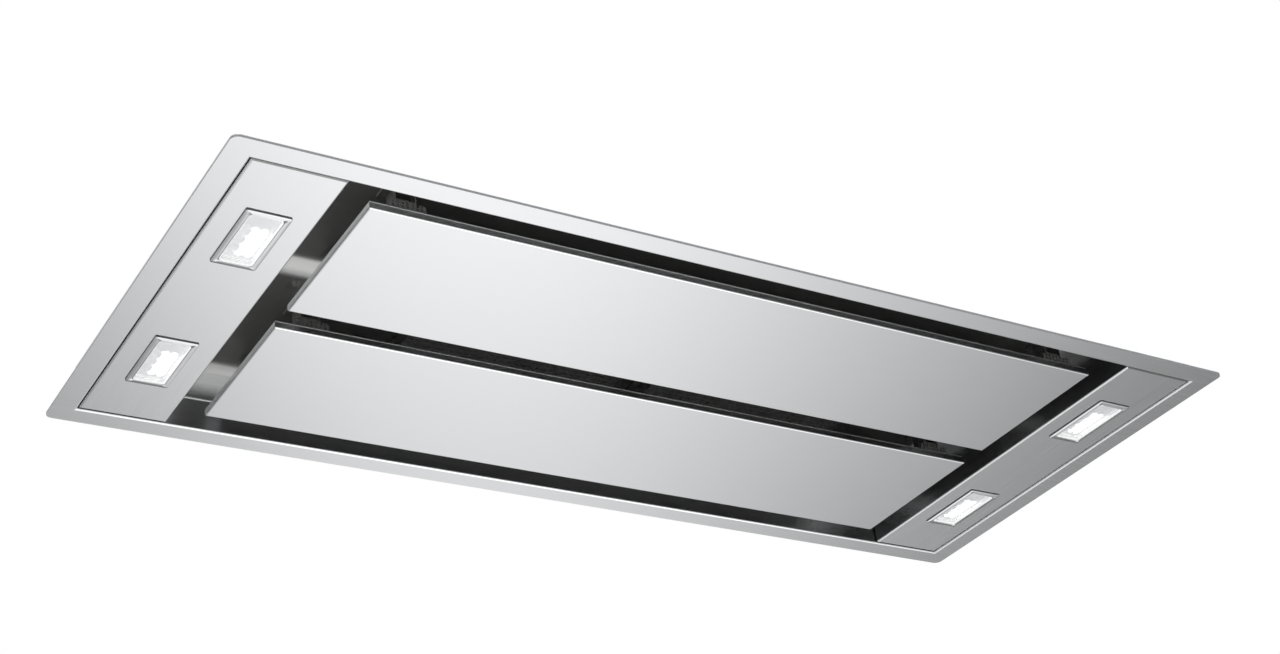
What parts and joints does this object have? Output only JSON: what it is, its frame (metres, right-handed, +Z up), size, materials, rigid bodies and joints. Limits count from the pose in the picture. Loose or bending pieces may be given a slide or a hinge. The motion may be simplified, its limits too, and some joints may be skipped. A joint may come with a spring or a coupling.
{
  "type": "ceiling range hood",
  "caption": "Recessed ceiling hood: brushed steel frame, hinged suction panels, rectangular lamps, grease filters and a blower in a sheet-metal housing.",
  "frame": {"origin": "centre of the four hanger holes, on the upper face of the hanger ears; the visible face is 142 mm below", "axes": "+X along the long side towards the duct outlet, +Y from the hinge edges of the panels to their catch edges, +Z up"},
  "size_m": [1.1, 0.49, 0.2856],
  "materials": {
    "stainless": "fine brushed grain along the hood, soft satin reflections",
    "polished_steel": "smooth dark polished steel that mirrors the panels",
    "backing_steel": "mill finish, slightly dull",
    "zinc_steel": "zinc-plated pressed steel",
    "magnet": "dark ferrite with a matt face",
    "filter_aluminium": "extruded channel, satin",
    "filter_mesh": "layered expanded mesh",
    "black_plastic": "fine moulded texture",
    "galvanised": "hot-dip galvanised sheet with a faint spangle",
    "wheel_metal": "pressed aluminium, slightly dull",
    "motor_paint": "dark stoved paint",
    "grey_plastic": "fine moulded texture",
    "circuit_board": "solder-resist green with dark parts",
    "lamp_bezel": "frosted silver-white plastic",
    "lamp_lens": "clear cover with a soft sheen",
    "lamp_diodes": "white board with lit diodes",
    "heat_sink": "die-cast, natural"
  },
  "bodies": {
    "hood_body": {"trim_frame": "stainless", "light_panel_left": "stainless", "light_panel_right": "stainless", "hinge_brackets": "zinc_steel", "hinge_pins": "zinc_steel", "catch_brackets": "zinc_steel", "catch_magnets": "magnet", "intake_deck": "polished_steel", "filter_frame_left": "filter_aluminium", "filter_frame_right": "filter_aluminium", "filter_mesh_left": "filter_mesh", "filter_mesh_right": "filter_mesh", "lower_housing": "galvanised", "motor_box": "galvanised", "scroll_wrap": "galvanised", "scroll_cheek_front": "galvanised", "scroll_cheek_rear": "galvanised", "outlet_transition": "galvanised", "motor_body": "motor_paint", "motor_spider": "zinc_steel", "duct_collar": "galvanised", "flap_pin": "zinc_steel", "hanger_brackets": "galvanised", "housing_screws": "zinc_steel", "control_box": "grey_plastic", "control_box_lid": "grey_plastic", "control_board": "circuit_board", "motor_capacitor": "black_plastic", "cable_gland": "grey_plastic", "lamp_bezel_front_left": "lamp_bezel", "lamp_lens_front_left": "lamp_lens", "lamp_board_front_left": "lamp_diodes", "lamp_sink_front_left": "heat_sink", "lamp_bezel_rear_left": "lamp_bezel", "lamp_lens_rear_left": "lamp_lens", "lamp_board_rear_left": "lamp_diodes", "lamp_sink_rear_left": "heat_sink", "lamp_bezel_front_right": "lamp_bezel", "lamp_lens_front_right": "lamp_lens", "lamp_board_front_right": "lamp_diodes", "lamp_sink_front_right": "heat_sink", "lamp_bezel_rear_right": "lamp_bezel", "lamp_lens_rear_right": "lamp_lens", "lamp_board_rear_right": "lamp_diodes", "lamp_sink_rear_right": "heat_sink"},
    "front_panel": {"suction_panel_front": "stainless", "panel_backing_front": "backing_steel", "hinge_leaves_front": "zinc_steel", "striker_plates_front": "zinc_steel"},
    "rear_panel": {"suction_panel_rear": "stainless", "panel_backing_rear": "backing_steel", "hinge_leaves_rear": "zinc_steel", "striker_plates_rear": "zinc_steel"},
    "fan": {"fan_wheel": "wheel_metal", "motor_shaft": "zinc_steel"},
    "front_flap": {"damper_flap_front": "wheel_metal"},
    "rear_flap": {"damper_flap_rear": "wheel_metal"},
    "left_latch": {"filter_latch_left": "black_plastic"},
    "right_latch": {"filter_latch_right": "black_plastic"}
  },
  "joints": [
    {"name": "front_panel_hinge", "type": "hinge", "parent": "hood_body", "child": "front_panel", "pos_m": [0, -0.1805, -0.121], "axis": [-1, 0, 0], "range_deg": [0, 90]},
    {"name": "rear_panel_hinge", "type": "hinge", "parent": "hood_body", "child": "rear_panel", "pos_m": [0, 0.027, -0.121], "axis": [-1, 0, 0], "range_deg": [0, 90]},
    {"name": "fan_spin", "type": "hinge", "parent": "hood_body", "child": "fan", "pos_m": [0, 0, 0.0157], "axis": [0, 1, 0], "continuous": true},
    {"name": "front_flap_swing", "type": "hinge", "parent": "hood_body", "child": "front_flap", "pos_m": [0.268, 0, 0.058], "axis": [0, 0, 1], "range_deg": [0, 75]},
    {"name": "rear_flap_swing", "type": "hinge", "parent": "hood_body", "child": "rear_flap", "pos_m": [0.268, 0, 0.058], "axis": [0, 0, -1], "range_deg": [0, 75]},
    {"name": "left_latch_slide", "type": "slide", "parent": "hood_body", "child": "left_latch", "axis": [0, 1, 0], "range_m": [0, 0.006]},
    {"name": "right_latch_slide", "type": "slide", "parent": "hood_body", "child": "right_latch", "axis": [0, 1, 0], "range_m": [0, 0.006]}
  ]
}
